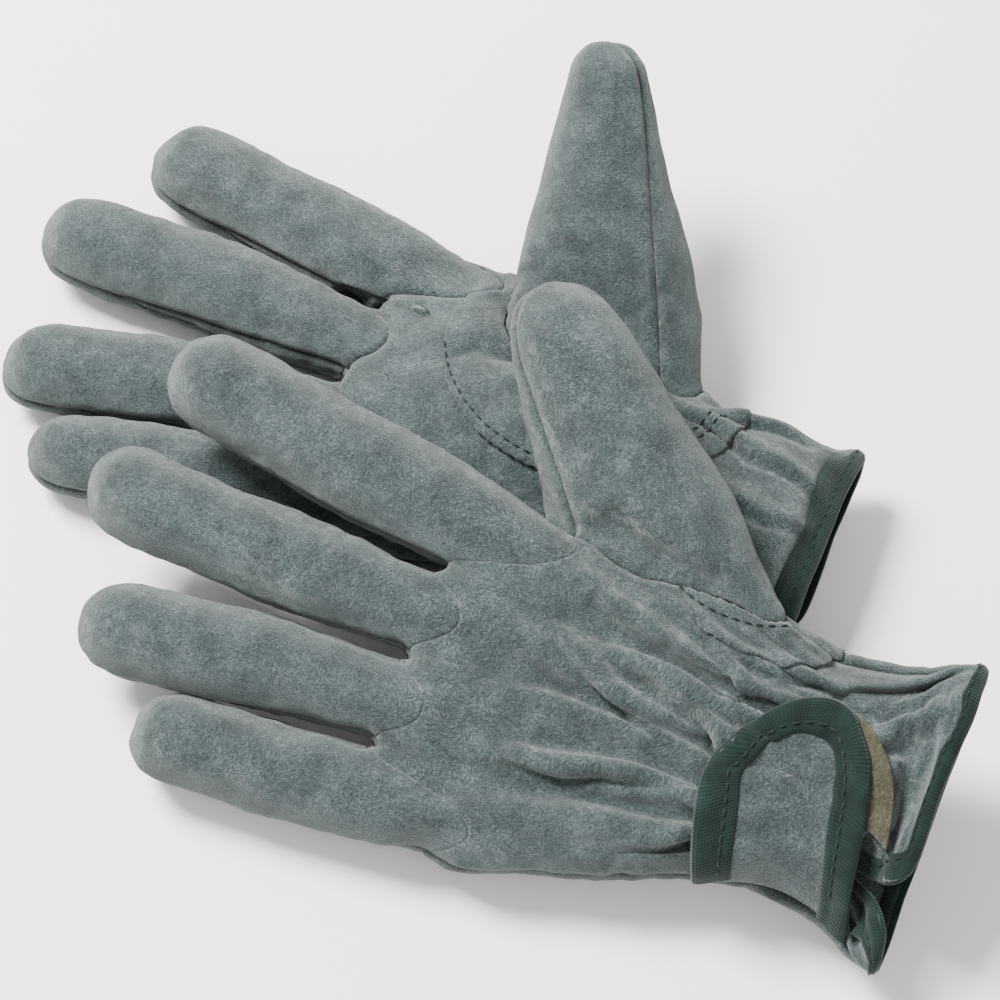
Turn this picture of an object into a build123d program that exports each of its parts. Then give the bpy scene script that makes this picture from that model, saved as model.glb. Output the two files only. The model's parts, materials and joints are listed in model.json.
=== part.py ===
"""A pair of suede work gloves with hook-and-loop wrist straps, laid one over the other.

The right glove lies palm up on the surface. The left glove lies back up on top of it, tilted, with its
little-finger side near the surface. Each glove is a shell of sewn leather panels: finger backs and
fronts, side gussets, crotch pieces, a thumb in two halves, a back and a palm, with bound edges.

Frame: +X from the fingertips to the cuffs, +Y from the little fingers to the thumbs, +Z up, with the
origin at the middle of the underside of the whole pair. Lengths are in millimetres.

A glove is drawn in its own axes first: x towards the cuff, y towards the thumb, z out of the back of the
hand, with its origin inside the hand behind the knuckles. The right glove is mirrored in z when placed.
"""

import os
from dataclasses import dataclass
from math import atan2, cos, degrees, hypot, pi, radians, sin

from build123d import *

# Leather and cross-sections
LEATHER = 1.2  # thickness of every leather panel
JOINT_GAP = 0.4  # free space between a hand and a finger or thumb that bends from it
THUMB_GAP = 1.4  # free space round the foot of a thumb where it passes into the hand
INDEX_THUMB_GAP = 0.6  # free space between the foot of the thumb and the forefinger
ROUNDNESS = 2.3  # superellipse power of a cross-section: 2 is an ellipse, more is boxier
OUTLINE_SIDES = 20  # short straight sides round a cross-section
TIP_TURNS = (30, 55, 75)  # degrees round a fingertip at which its cross-sections are drawn
KNUCKLE_CROWN = ((0.0, 0.88, 0.3), (0.3, 0.96, 0.75), (1.0, 1.0, 1.0))  # reach, width, depth

# Gussets between the fingers
GUSSET_HALF = 6.5  # half height of a side gusset where it starts
GUSSET_STOP = 4.0  # how far short of the fingertip centre a gusset ends in its point
CROTCH_REACH = 9.0  # length of the crotch pieces that join two gussets

# Cuff, slit and elastic
CUFF_BAND = 8.5  # width of the binding round the cuff
TAPE = 0.7  # thickness of folded binding tape on each side of the leather
SLIT_INNER = (66.0, -17.0)
SLIT_MOUTH = (131.0, -23.0)
SLIT_HALF = 1.0  # half the width of the wrist slit
SLIT_BAND = 4.0  # width of the binding along each edge of the slit
ELASTIC_X = (84.0, 91.0)
ELASTIC_Y = (-8.0, 34.0)
ELASTIC = 0.8

# Wrist strap: a tab sewn in at the little-finger side and closed over the slit
STRAP_ROOT = (97.0, -50.0)
STRAP_TIP = (87.0, 17.0)
STRAP_WIDTH = 40.0
STRAP_LIFT = 2.5  # height of the leather tab over the glove
STRAP_HEM = 3.0  # height in the glove's axes where the tab meets its side seam
STRAP_BAND = 8.5
HOOK_INSET = 9.5  # how far the hook pad stays inside the tab's edge
PAD = 1.0
LOOP_SHIFT = 7.0  # the loop pad shows this far beyond the tab, towards the cuff
LOOP_INSET = 1.0
LOOP_END = -11.0  # y where the loop pad stops, short of the slit

# Thumb reinforcement: a round-edged piece of leather on the palm, round the foot of the thumb
PATCH_CENTRE = (46.0, 26.0)
PATCH_RADIUS = 45.0
PATCH_CLEAR = 0.8  # free space between the patch and the thumb and forefinger

BIG = 400.0  # side of the boxes that cut with one face
FINGERS = ("index", "middle", "ring", "little")


@dataclass
class Digit:
    """A finger or thumb as a bent tube: its middle line from root to fingertip centre, and its girth."""

    line: list
    half_widths: list
    half_depths: list
    inner_sides: tuple = (-1, 1)  # sides with a gusset: -1 towards the little finger, 1 towards the thumb
    twist: float = 0.0  # degrees that the seam between back and front is turned round the digit


@dataclass
class Glove:
    """What differs between the two gloves as they lie. A hand section is x, y, z, half width, half depth."""

    side: str
    hand: list
    digits: dict
    bending: tuple  # digits free to bend
    place: Location
    mirrored: bool


LEFT = Glove(
    side="left",
    hand=[(-6, -6, 0, 47, 11), (12, -6, 0, 51, 13), (45, -2, 0, 47, 14), (66, 0, 0, 42, 13.5),
          (88, 1, 0, 37, 12.5), (108, 1, 0, 39.5, 12.5), (128, 1, 0, 42, 12)],
    digits={
        "index": Digit([(14, 30, 0), (-18, 31, 0), (-50, 36.5, 0), (-90, 43, 0)],
                       [11.5, 12.8, 14, 13.2], [8.5, 11, 12.4, 11.8], (-1,)),
        "middle": Digit([(14, 5, 0), (-18, 5, 0), (-60, 5.5, 0), (-100, 7.5, 0)],
                        [10.5, 11.3, 12.8, 12.6], [8.5, 11, 12.2, 11.6]),
        "ring": Digit([(14, -18, 0), (-18, -19, 0), (-55, -21, 0), (-88, -26.5, 0)],
                      [10.5, 10.8, 12, 12.4], [8.5, 10.8, 12, 11.6]),
        "little": Digit([(14, -43, 0), (-16, -44, 0), (-42, -47, 0), (-65, -48.5, 0)],
                        [11, 11.3, 12.2, 11.8], [8.5, 10.2, 11.8, 11.4], (1,)),
        "thumb": Digit([(46, 24, -2), (27, 50, -3), (8, 70, -4), (-8, 88, -4)],
                       [31, 25, 18.5, 14.5], [8, 11.5, 12, 11.5], (), twist=20),
    },
    bending=("index", "middle", "ring", "little", "thumb"),
    place=Location((10, -48, 29), (20, 0, 0)),
    mirrored=False,
)

RIGHT = Glove(
    side="right",
    hand=[(-8, 0, 0, 47, 11), (12, 0, 0, 50, 12.5), (45, 0, 0, 46, 13), (66, -2, -1, 40, 12),
          (88, -6, -1, 37, 11.5), (108, -9, -1, 38, 11), (126, -11, -1, 40, 11)],
    digits={
        "index": Digit([(12, 35, 0), (-25, 34, 0), (-50, 40.5, 1), (-85, 45.5, 1)],
                       [11.5, 12.8, 14, 13.2], [8.5, 11, 12, 11.6], (-1,)),
        "middle": Digit([(12, 9, 0), (-30, 9, 0), (-70, 13, 1), (-104, 11, 1)],
                        [10.5, 11.5, 13, 12.8], [8.5, 11, 12, 11.6]),
        "ring": Digit([(12, -14, 0), (-30, -16, 1), (-65, -21, 2), (-96, -30, 2)],
                      [10.5, 10.8, 12.4, 12.2], [8.5, 9.5, 10.2, 10.5]),
        "little": Digit([(12, -37, 0), (-25, -40, 1), (-52, -45, 3), (-79, -52, 3)],
                        [10, 10.4, 11, 11], [8, 8.8, 9.4, 9.8], (1,)),
        "thumb": Digit([(46, 22, -2), (40, 44, -12), (27, 68, -27), (17.5, 94, -46.5)],
                       [30, 27, 19.5, 11.5], [8, 11, 12, 10.5], (), twist=35),
    },
    bending=("index", "middle", "thumb"),
    place=Location((-40, 25, 13)),
    mirrored=True,
)


def outline(plane, half_width, half_depth):
    """Closed many-sided superellipse on a plane, its width along the plane's x."""
    points = []
    for step in range(OUTLINE_SIDES):
        turn = 2 * pi * (step + 0.5) / OUTLINE_SIDES
        across = abs(cos(turn)) ** (2 / ROUNDNESS) * (1 if cos(turn) > 0 else -1)
        upward = abs(sin(turn)) ** (2 / ROUNDNESS) * (1 if sin(turn) > 0 else -1)
        points.append(plane.from_local_coords((half_width * across, half_depth * upward)))
    return Wire.make_polygon(points, close=True)


def across_plane(point, direction):
    """Plane square to a digit, its x across the digit towards the thumb, its y towards the back."""
    rearward = -direction.normalized()
    side = Vector(0, 0, 1).cross(rearward).normalized()
    return Plane(origin=point, x_dir=side, z_dir=rearward)


def hand_solid(glove, grow, past_cuff=0.0):
    """The hand's outer form, grown outwards, closed by a rounded crown at the knuckles."""
    first, last = glove.hand[0], glove.hand[-1]
    reach = first[4] + grow
    rings = [(first[0] - reach * (1 - along), first[1], first[2], (first[3] + grow) * wide, reach * deep)
             for along, wide, deep in KNUCKLE_CROWN]
    rings += [(x, y, z, wide + grow, deep + grow) for x, y, z, wide, deep in glove.hand[1:-1]]
    rings.append((last[0], last[1], last[2], last[3] + grow, last[4] + grow))
    if past_cuff:
        rings.append((last[0] + past_cuff, *rings[-1][1:]))
    wires = [outline(Plane(origin=(x, y, z), x_dir=(0, 1, 0), z_dir=(1, 0, 0)), wide, deep)
             for x, y, z, wide, deep in rings]
    return Solid.make_loft(wires, ruled=True)


def digit_solid(digit, grow):
    """A finger or thumb, grown outwards, with a rounded tip and its root inside the hand."""
    line = [Vector(*point) for point in digit.line]
    wires = []
    for index, point in enumerate(line):
        before, after = line[max(index - 1, 0)], line[min(index + 1, len(line) - 1)]
        wide, deep = digit.half_widths[index] + grow, digit.half_depths[index] + grow
        wires.append(outline(across_plane(point, after - before), wide, deep))
    onward = (line[-1] - line[-2]).normalized()
    for turn in TIP_TURNS:
        centre = line[-1] + onward * (digit.half_widths[-1] + grow) * sin(radians(turn))
        scale = cos(radians(turn))
        wires.append(outline(across_plane(centre, onward), wide * scale, deep * scale))
    return Solid.make_loft(wires, ruled=True)


def half_space(plane, upper=True):
    """Large box on one side of a plane."""
    return plane * Pos(0, 0, BIG / 2 if upper else -BIG / 2) * Box(BIG, BIG, BIG)


def digit_plane(digit):
    """Plane through a digit's length that parts its back from its front, its normal towards the back."""
    root, tip = Vector(*digit.line[1]), Vector(*digit.line[-1])
    across = across_plane(root, tip - root)
    turn = radians(digit.twist)
    normal = across.y_dir * cos(turn) + across.x_dir * sin(turn)
    return Plane(origin=root, x_dir=(tip - root).normalized(), z_dir=normal)


def gusset_wedge(digit, side):
    """Wedge that holds one side gusset: tall at the crotch and pointed before the fingertip."""
    root, tip = Vector(*digit.line[0]), Vector(*digit.line[-1])
    across = across_plane(root, tip - root)
    point = tip - (tip - root).normalized() * GUSSET_STOP
    corners = [root + across.y_dir * GUSSET_HALF, root - across.y_dir * GUSSET_HALF, point]
    face = Face(Wire.make_polygon(corners, close=True))
    return Solid.extrude(face, across.x_dir * side * BIG / 4)


def one_piece(shape):
    """The largest solid of a cut, without the slivers that a cut can leave."""
    return max(shape.solids(), key=lambda solid: solid.volume)


def digit_pieces(glove, name):
    """The leather panels of one finger or thumb, trimmed where they meet the hand."""
    digit = glove.digits[name]
    gap = JOINT_GAP if name in glove.bending else 0.0
    shell = digit_solid(digit, 0) - digit_solid(digit, -LEATHER) - hand_solid(glove, gap)
    if name == "index":
        shell = shell - digit_solid(glove.digits["thumb"], INDEX_THUMB_GAP)
    shell = one_piece(shell)
    gussets = []
    for side in digit.inner_sides:
        wedge = gusset_wedge(digit, side)
        gussets.append(one_piece(shell & wedge))
        shell = shell - wedge
    plane = digit_plane(digit)
    panels = {"back": one_piece(shell & half_space(plane)),
              "front": one_piece(shell & half_space(plane, upper=False))}
    if gussets:
        panels["gussets"] = Compound(gussets)
    return panels


def slab(low, high):
    """Box between two corners."""
    size = [b - a for a, b in zip(low, high)]
    middle = [(a + b) / 2 for a, b in zip(low, high)]
    return Pos(*middle) * Box(*size)


def slit_block(half_width, rise=BIG / 4):
    """Upright block along the wrist slit, open at the cuff."""
    run = SLIT_MOUTH[0] - SLIT_INNER[0], SLIT_MOUTH[1] - SLIT_INNER[1]
    length = hypot(*run)
    turn = degrees(atan2(run[1], run[0]))
    block = Box(length, 2 * half_width, rise, align=(Align.MIN, Align.CENTER, Align.MIN))
    return Location((*SLIT_INNER, 0), (0, 0, turn)) * block


def slit_offset(glove):
    """The slit follows the wrist when a glove's wrist leans to one side."""
    return Pos(0, glove.hand[4][1] - 1, 0)


def tab_block(inset, shift=0.0):
    """Upright block with the strap's outline: straight sides and a round end, drawn in by an inset."""
    run = STRAP_TIP[0] - STRAP_ROOT[0], STRAP_TIP[1] - STRAP_ROOT[1]
    straight = hypot(*run) - STRAP_WIDTH / 2
    turn = degrees(atan2(run[1], run[0]))
    radius = STRAP_WIDTH / 2 - inset
    plan = Pos(straight / 2, 0) * Rectangle(straight, 2 * radius) + Pos(straight, 0) * Circle(radius)
    block = extrude(plan, BIG / 4)
    return Location((STRAP_ROOT[0] + shift, STRAP_ROOT[1], 0), (0, 0, turn)) * block


def layer(glove, inner, outer):
    """Layer that follows the hand between two heights over the leather's outer face."""
    return hand_solid(glove, outer, 3.0) - hand_solid(glove, inner, 4.0)


def hand_pieces(glove):
    """Back, palm, crotch pieces and thumb reinforcement of one glove."""
    shell = hand_solid(glove, 0) - hand_solid(glove, -LEATHER, 1.0)
    for name, digit in glove.digits.items():
        if name not in glove.bending:
            opening = digit_solid(digit, -LEATHER)
        else:
            opening = digit_solid(digit, THUMB_GAP if name == "thumb" else JOINT_GAP)
        shell = shell - opening
    front = glove.hand[0][0] - glove.hand[0][4]
    pieces = {}
    for first, second in zip(FINGERS, FINGERS[1:]):
        high, low = glove.digits[first].line[1][1], glove.digits[second].line[1][1]
        block = slab((front - 5, low, -GUSSET_HALF), (front + CROTCH_REACH, high, GUSSET_HALF))
        pieces[f"{first}_{second}_crotch"] = one_piece(shell & block)
        shell = shell - block
    back = shell & half_space(Plane.XY)
    pieces["hand_back"] = one_piece(back - slit_offset(glove) * slit_block(SLIT_HALF))
    pieces["palm"] = one_piece(shell & half_space(Plane.XY, upper=False))
    disc = Pos(*PATCH_CENTRE, -BIG / 8) * Cylinder(PATCH_RADIUS, BIG / 4)
    patch = layer(glove, 0, LEATHER) & disc & half_space(Plane.XY, upper=False)
    for name in ("thumb", "index"):
        patch = patch - digit_solid(glove.digits[name], PATCH_CLEAR)
    pieces["thumb_patch"] = one_piece(patch)
    return pieces


def binding_pieces(glove):
    """Tape folded over the cuff's edge and over both edges of the slit, and the elastic inside."""
    cuff = glove.hand[-1][0]
    move = slit_offset(glove)
    tape = layer(glove, -LEATHER - TAPE, TAPE) - (layer(glove, -LEATHER, 0) & slab(
        (cuff - 50, -BIG, -BIG), (cuff, BIG, BIG)))
    ring = tape & slab((cuff - CUFF_BAND, -BIG, -BIG), (cuff + TAPE, BIG, BIG))
    ring = ring - move * slit_block(SLIT_HALF)
    lips = layer(glove, -LEATHER - TAPE, TAPE) - layer(glove, -LEATHER, 0)
    lips = lips & slab((SLIT_INNER[0], -BIG, 0), (cuff - CUFF_BAND, BIG, BIG))
    lips = (lips & move * slit_block(SLIT_HALF + SLIT_BAND)) - move * slit_block(SLIT_HALF)
    elastic = layer(glove, -LEATHER - ELASTIC, -LEATHER) & (move * slab(
        (ELASTIC_X[0], ELASTIC_Y[0], 2), (ELASTIC_X[1], ELASTIC_Y[1], BIG)))
    return {"cuff_binding": one_piece(ring), "slit_binding": Compound(lips.solids()),
            "wrist_elastic": one_piece(elastic)}


def strap_pieces(glove):
    """The bound leather tab with its hook pad, and the loop pad sewn to the glove beneath it."""
    move = slit_offset(glove)
    above_hem = slab((0, -BIG, STRAP_HEM), (BIG, BIG, BIG))
    rim = move * tab_block(0) & above_hem
    leather_low, leather_high = STRAP_LIFT, STRAP_LIFT + LEATHER
    leather = layer(glove, leather_low, leather_high) & (move * tab_block(TAPE)) & above_hem
    tape = layer(glove, leather_low - TAPE, leather_high + TAPE) & rim
    tape = tape - move * tab_block(STRAP_BAND) - leather
    hooks = layer(glove, leather_low - PAD, leather_low) & (move * tab_block(HOOK_INSET)) & (
        move * slab((0, LOOP_END, 0), (BIG, BIG, BIG)))
    loops = layer(glove, 0, PAD) & (move * tab_block(LOOP_INSET, LOOP_SHIFT)) & (
        move * slab((0, LOOP_END, 0), (BIG, BIG, BIG)))
    return {"strap": one_piece(leather), "strap_binding": one_piece(tape),
            "hook_pad": one_piece(hooks), "loop_pad": one_piece(loops)}


def glove_pieces(glove):
    """Every piece of one glove in the glove's own axes."""
    pieces = hand_pieces(glove)
    pieces.update(binding_pieces(glove))
    pieces.update(strap_pieces(glove))
    for name in glove.digits:
        for panel, shape in digit_pieces(glove, name).items():
            pieces[f"{name}_{panel}"] = shape
    return pieces


def placed(glove, shape):
    """A shape moved from the glove's own axes to where the glove lies."""
    if glove.mirrored:
        shape = mirror(shape, about=Plane.XY)
    return glove.place * shape


def build():
    """Every piece of both gloves by node name, with the origin under the middle of the pair."""
    nodes = {}
    for glove in (LEFT, RIGHT):
        for name, shape in glove_pieces(glove).items():
            nodes[f"{glove.side}_{name}"] = placed(glove, shape)
    box = Compound([solid for shape in nodes.values() for solid in shape.solids()]).bounding_box()
    middle = box.center()
    shift = Pos(-middle.X, -middle.Y, -box.min.Z)
    return {name: shift * shape for name, shape in nodes.items()}, shift


NODES, ORIGIN_SHIFT = build()
os.makedirs("parts", exist_ok=True)
for node_name, node_shape in NODES.items():
    export_step(node_shape, f"parts/{node_name}.step")
print("nodes", len(NODES), "origin shift", ORIGIN_SHIFT.position)
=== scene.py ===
"""A pair of suede work gloves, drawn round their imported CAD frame.

Each glove's skin starts as the closed form of its CAD panels. It is remeshed, puffed up by cloth pressure
and gathered at the wrist, given its seams and folds, opened at the cuff and the slit, and cut along the
seams into the real leather panels. The trim is laid on the skin afterwards.

Glove axes, in millimetres: x towards the cuff, y towards the thumb, z out of the back of the hand.
"""

import json
from math import cos, pi, radians, sin

import bmesh
import bpy
import numpy as np
from mathutils import Matrix, Vector, noise
from mathutils.bvhtree import BVHTree


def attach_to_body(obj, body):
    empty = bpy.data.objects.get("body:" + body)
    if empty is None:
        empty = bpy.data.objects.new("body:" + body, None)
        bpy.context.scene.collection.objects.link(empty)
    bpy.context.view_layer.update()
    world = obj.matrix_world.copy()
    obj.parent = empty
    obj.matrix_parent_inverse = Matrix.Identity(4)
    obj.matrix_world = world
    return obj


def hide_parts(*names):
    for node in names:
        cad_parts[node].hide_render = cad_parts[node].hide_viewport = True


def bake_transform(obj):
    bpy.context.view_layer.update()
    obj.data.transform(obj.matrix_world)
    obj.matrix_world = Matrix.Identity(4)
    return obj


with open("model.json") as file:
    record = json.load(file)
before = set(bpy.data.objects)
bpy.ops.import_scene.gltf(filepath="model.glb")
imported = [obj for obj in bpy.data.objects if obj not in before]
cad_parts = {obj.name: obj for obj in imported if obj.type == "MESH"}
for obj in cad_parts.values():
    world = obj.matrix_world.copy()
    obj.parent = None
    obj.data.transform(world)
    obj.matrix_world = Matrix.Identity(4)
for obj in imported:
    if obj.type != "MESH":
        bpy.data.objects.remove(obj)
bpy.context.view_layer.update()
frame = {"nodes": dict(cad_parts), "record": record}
NODES = frame["nodes"]
MM = 0.001

FINGERS = ("index", "middle", "ring", "little")
DIGITS = FINGERS + ("thumb",)
CROTCHES = ("index_middle_crotch", "middle_ring_crotch", "ring_little_crotch")

# Skin
VOXEL = 1.5
LEATHER = 1.1
SMOOTHING = 6
FINGER_SLIM = 0.9  # width kept by the fingers while the skin is remeshed
CLOTH_SCALE = 0.01  # units to the millimetre while the cloth runs
PUFF_FRAMES = 16
PUFF_PRESSURE = 1.5
PUFF_LIMIT = 10.0  # about the most a point may move while the skin is puffed up
GATHER_X = 87.0  # the elastic line across the back of the wrist
GATHER_SHRINK = 0.45
WRINKLE_GAIN = 2.4  # how much deeper the cloth's wrinkles are made than they come
DIGIT_SHARE = 0.25  # share of the puffing kept on the fingers
UNDER_LIMIT = 0.35  # share of the puffing kept where the gloves lie on each other
PANEL_REACH = 9.0  # how far round a CAD panel the distance to it is measured
PANEL_FAR = 60.0  # the distance noted beyond that
RAY_START = 90.0  # outside every glove

# Seams
CROTCH_SETBACK = 5.0  # keeps the pieces between the fingers off the palm and the back
PANEL_BLUR = 30  # rounds of smoothing that clear stray islands from the layout of the panels
CROTCH_CALM = 25  # rounds of smoothing between the fingers' roots
SEAM_DEPTH = 1.0
SEAM_WIDTH = 1.1
SEAM_RIDGE = 0.45

# Deep folds: side of the glove (1 back, -1 palm), height, half width, and the line of the crease
FOLDS = {
    "left": (
        (1, 4.9, 4.2, ((24, 12), (43, 7), (56, 3), (65, -4), (74, -12))),
        (1, 3.8, 4.0, ((10, -27), (30, -26), (42, -23), (60, -17))),
        (1, 3.2, 3.0, ((46, -43), (57, -39), (66, -33), (76, -32))),
        (1, 2.6, 3.2, ((28, 38), (40, 34), (61, 22), (70, 12))),
        (1, 2.6, 3.5, ((4, 14), (26, 4), (46, -6), (63, -12))),
        (1, 2.2, 2.6, ((58, -21), (65, -26), (75, -31))),
        (1, 2.3, 3.0, ((61, 27), (81, 29), (98, 27))),
        (1, 1.7, 2.6, ((70, 20), (88, 22), (110, 17))),
        (1, 2.0, 3.2, ((52, 14), (66, 8), (80, 6))),
    ),
    "right": (
        (-1, 2.9, 3.5, ((70, 14), (92, 8), (118, 6))),
        (-1, 2.3, 3.0, ((78, -4), (96, -8), (120, -8))),
        (-1, 2.2, 4.0, ((20, 8), (34, -6), (44, -22))),
        (-1, 2.6, 3.0, ((74, 26), (90, 20), (112, 22))),
        (1, 2.6, 3.5, ((20, 12), (46, 6), (72, -8))),
        (1, 2.3, 3.5, ((16, -20), (44, -22), (70, -20))),
    ),
}

# Openings, in the glove's axes
SLIT_INNER = (66.0, -17.0)
SLIT_MOUTH = (131.0, -23.0)
SLIT_HALF = 1.0
SLIT_FLARE = 3.0  # half width added at the mouth
CORNER = 9.0  # radius of the corners between the slit and the cuff

# Where a finger or the thumb would begin to follow its own body, and where it would follow only that;
# nothing here bends the pieces between them
FINGER_BEND = ((-15.0, 0.0, 0.0), (-42.0, 0.0, 0.0))
THUMB_BEND = ((27.0, 46.0, 0.0), (20.0, 74.0, 0.0))

# Elastic inside the back of the wrist: the corners of the box that holds it
ELASTIC_BOX = ((84.0, -8.0, 2.0), (91.0, 34.0, 99.0))

# Binding tape and stitches
CUFF_BAND = 8.5
SLIT_BAND = 4.5
TAPE = 0.7
STITCH_LINE = 0.62  # where the stitches run, as a share of the tape's width
RIM_STEP = 1.3  # between cross-sections of the cuff's tape
STRAP_STEP = 1.2  # between cross-sections of the strap's tape
STITCH_LENGTH = 2.3
STITCH_PITCH = 3.3
STITCH_RADIUS = 0.3

# Strap: a tab sewn in at the little-finger side, closed over the slit
STRAP_ROOT_X = 97.0
STRAP_TIP = (87.0, 17.0)
STRAP_WIDTH = 40.0
STRAP_HEM = 3.0  # height of the hem above the middle of the side
STRAP_BAND = 8.5
STRAP_RISE = 2.3  # height of the strap's underside over the glove
STRAP_BEND = (1.0, 14.0)  # lengths from its root between which it would bend as it opens; nothing here bends it
HOOK_INSET = 9.5
LOOP_INSET = 0.5
LOOP_SHIFT = 8.5  # how far the loop pad lies towards the cuff from the strap
LOOP_START = 24.0
COVER_STEP = 1.5  # between the rings of the surface that the strap lies on
COVER_TURN = 3  # degrees between its spokes
COVER_BEFORE = 4.0  # length that it goes under the side hem

# Thumb reinforcement: round-edged on the palm, and wrapped a little way on to the back
PATCH_CENTRE = (46.0, 26.0)
PATCH_RADIUS = 45.0
WRAP_CENTRE = (62.0, 44.0)
WRAP_HALF = (25.0, 15.0)
PATCH_RISE = 0.9
PATCH_ROWS = ((2.2, False), (5.0, False), (2.2, True))  # rows of stitches: inset, and on the back or not
PATCH_GRAIN = 300.0  # shifts of the leather's grain, so that no two pieces match
STRAP_GRAIN = 150.0

# Camera
AZIMUTH = 22.5
ELEVATION = 62.0
DISTANCE = 0.85
TARGET = (0.008917, -0.011922, 0.022135)


class Glove:
    """One glove: its axes, its side, and the bodies its pieces ride on."""

    def __init__(self, side, cuff, tilt, flip, bending, rings):
        self.side = side
        self.rings = rings
        self.cuff_x, self.cuff_y, self.cuff_z = cuff
        mounts = {mount["name"]: mount for mount in frame["record"]["mounts"]}
        middle = Vector(mounts[f"{side}_cuff_opening"]["pos_m"])
        turn = Matrix.Rotation(radians(tilt), 4, "X") @ Matrix.Diagonal((1, 1, flip, 1))
        origin = middle - turn @ (Vector(cuff) * MM)
        self.to_world = Matrix.Translation(origin) @ turn @ Matrix.Scale(MM, 4)
        self.to_local = self.to_world.inverted()
        self.mirrored = flip < 0
        self.bending = bending
        self.body = f"{side}_glove"

    def local(self, points):
        """World points, in metres, as an array in the glove's axes."""
        matrix = np.array(self.to_local)
        return np.asarray(points) @ matrix[:3, :3].T + matrix[:3, 3]

    def world(self, points):
        """Points in the glove's axes as an array in the frame, in metres."""
        matrix = np.array(self.to_world)
        return np.asarray(points) @ matrix[:3, :3].T + matrix[:3, 3]

    def node_points(self, name):
        """A CAD node's vertices in the glove's axes."""
        return self.local(vertex_array(NODES[f"{self.side}_{name}"].data))

    def node_tree(self, name):
        """A CAD node's surface in the glove's axes, for measuring distances."""
        mesh = NODES[f"{self.side}_{name}"].data
        faces = [tuple(face.vertices) for face in mesh.polygons]
        return BVHTree.FromPolygons([Vector(p) for p in self.node_points(name)], faces)


def vertex_array(mesh):
    """A mesh's vertex places as an array."""
    flat = np.empty(len(mesh.vertices) * 3)
    mesh.vertices.foreach_get("co", flat)
    return flat.reshape(-1, 3)


def set_vertices(mesh, points):
    """Writes an array back as a mesh's vertex places."""
    mesh.vertices.foreach_set("co", np.asarray(points, dtype=np.float32).ravel())
    mesh.update()


GLOVES = (
    Glove("left", (128, 1, 0), tilt=20, flip=1, bending=DIGITS, rings=(-6, 12, 45, 66, 88, 108, 128)),
    Glove("right", (126, -11, -1), tilt=0, flip=-1, bending=("index", "middle", "thumb"),
          rings=(-8, 12, 45, 66, 88, 108, 126)),
)


def new_object(name, mesh):
    """Links a mesh into the scene."""
    piece = bpy.data.objects.new(name, mesh)
    bpy.context.scene.collection.objects.link(piece)
    return piece


def apply_modifiers(piece):
    """Makes an object's modified shape its own mesh."""
    bpy.context.view_layer.update()
    evaluated = piece.evaluated_get(bpy.context.evaluated_depsgraph_get())
    mesh = bpy.data.meshes.new_from_object(evaluated)
    piece.modifiers.clear()
    old = piece.data
    piece.data = mesh
    bpy.data.meshes.remove(old)


def smoothstep(values, low, high):
    """0 below low, 1 above high, and a smooth rise between."""
    t = np.clip((np.asarray(values, dtype=float) - low) / (high - low), 0, 1)
    return t * t * (3 - 2 * t)


def unit(vectors):
    """Vectors scaled to length one."""
    length = np.linalg.norm(vectors, axis=-1, keepdims=True)
    return vectors / np.maximum(length, 1e-9)


def noise_at(points, size, seed):
    """Smooth noise between about -1 and 1 whose lumps have the given size."""
    offset = Vector((seed * 17.3, seed * 5.1, seed * 9.7))
    return np.array([noise.noise(Vector(point) / size + offset) for point in points])


# ---------------------------------------------------------------------------------------------- skin


def add_hull(bm, points):
    """Adds the convex hull of some points to a bmesh."""
    verts = [bm.verts.new(point) for point in points]
    made = bmesh.ops.convex_hull(bm, input=verts, use_existing_faces=False)
    spare = [item for item in made["geom_interior"] if isinstance(item, bmesh.types.BMVert)]
    bmesh.ops.delete(bm, geom=spare, context="VERTS")


def slimmer(points):
    """A finger drawn in a little across its width, so that its neighbours stay apart in the remesh."""
    slope, start = np.polyfit(points[:, 0], points[:, 1], 1)
    middle = start + slope * points[:, 0]
    thin = points.copy()
    thin[:, 1] = middle + (points[:, 1] - middle) * FINGER_SLIM
    return thin


def finger_lines(glove):
    """The middle line of each finger, as slope and start of y over x."""
    lines = []
    for digit in FINGERS:
        points = np.vstack([glove.node_points(f"{digit}_back"), glove.node_points(f"{digit}_front")])
        lines.append(np.polyfit(points[:, 0], points[:, 1], 1))
    return np.array(lines)


def widened(glove, points):
    """The remeshed fingers brought back to their width."""
    lines = finger_lines(glove)
    offset = points[:, 1] - (lines[:, :1] * points[:, 0] + lines[:, 1:])
    nearest = np.take_along_axis(offset, np.abs(offset).argmin(axis=0)[None], axis=0)[0]
    share = smoothstep(-points[:, 0], -4, 12) * (np.abs(nearest) < 18)
    wide = points.copy()
    wide[:, 1] += nearest * (1 / FINGER_SLIM - 1) * share
    return wide


def envelope(glove):
    """The closed outer form of a glove, as overlapping hulls in the glove's axes."""
    bm = bmesh.new()
    hand = np.vstack([glove.node_points("hand_back"), glove.node_points("palm")])
    rings = (hand[:, 0].min(),) + glove.rings
    for low, high in zip(rings, rings[1:]):
        add_hull(bm, hand[(hand[:, 0] > low - 0.2) & (hand[:, 0] < high + 0.2)])
    for digit in DIGITS:
        points = np.vstack([glove.node_points(f"{digit}_back"), glove.node_points(f"{digit}_front")])
        if digit != "thumb":
            points = slimmer(points)
        reach = np.linalg.norm(points - np.array((30.0, 0.0, 0.0)), axis=1)
        away = np.linalg.norm(points - points[np.argmax(reach)], axis=1)
        root = points[away > 0.72 * away.max()]
        centre = root.mean(axis=0)
        inward = unit(np.array((30.0, centre[1] * 0.8, 0.0)) - centre)
        add_hull(bm, np.vstack([points, centre + (root - centre) * 0.7 + inward * 9]))
    mesh = bpy.data.meshes.new(f"{glove.side}_skin")
    bm.to_mesh(mesh)
    bm.free()
    return new_object(f"{glove.side}_skin", mesh)


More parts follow.
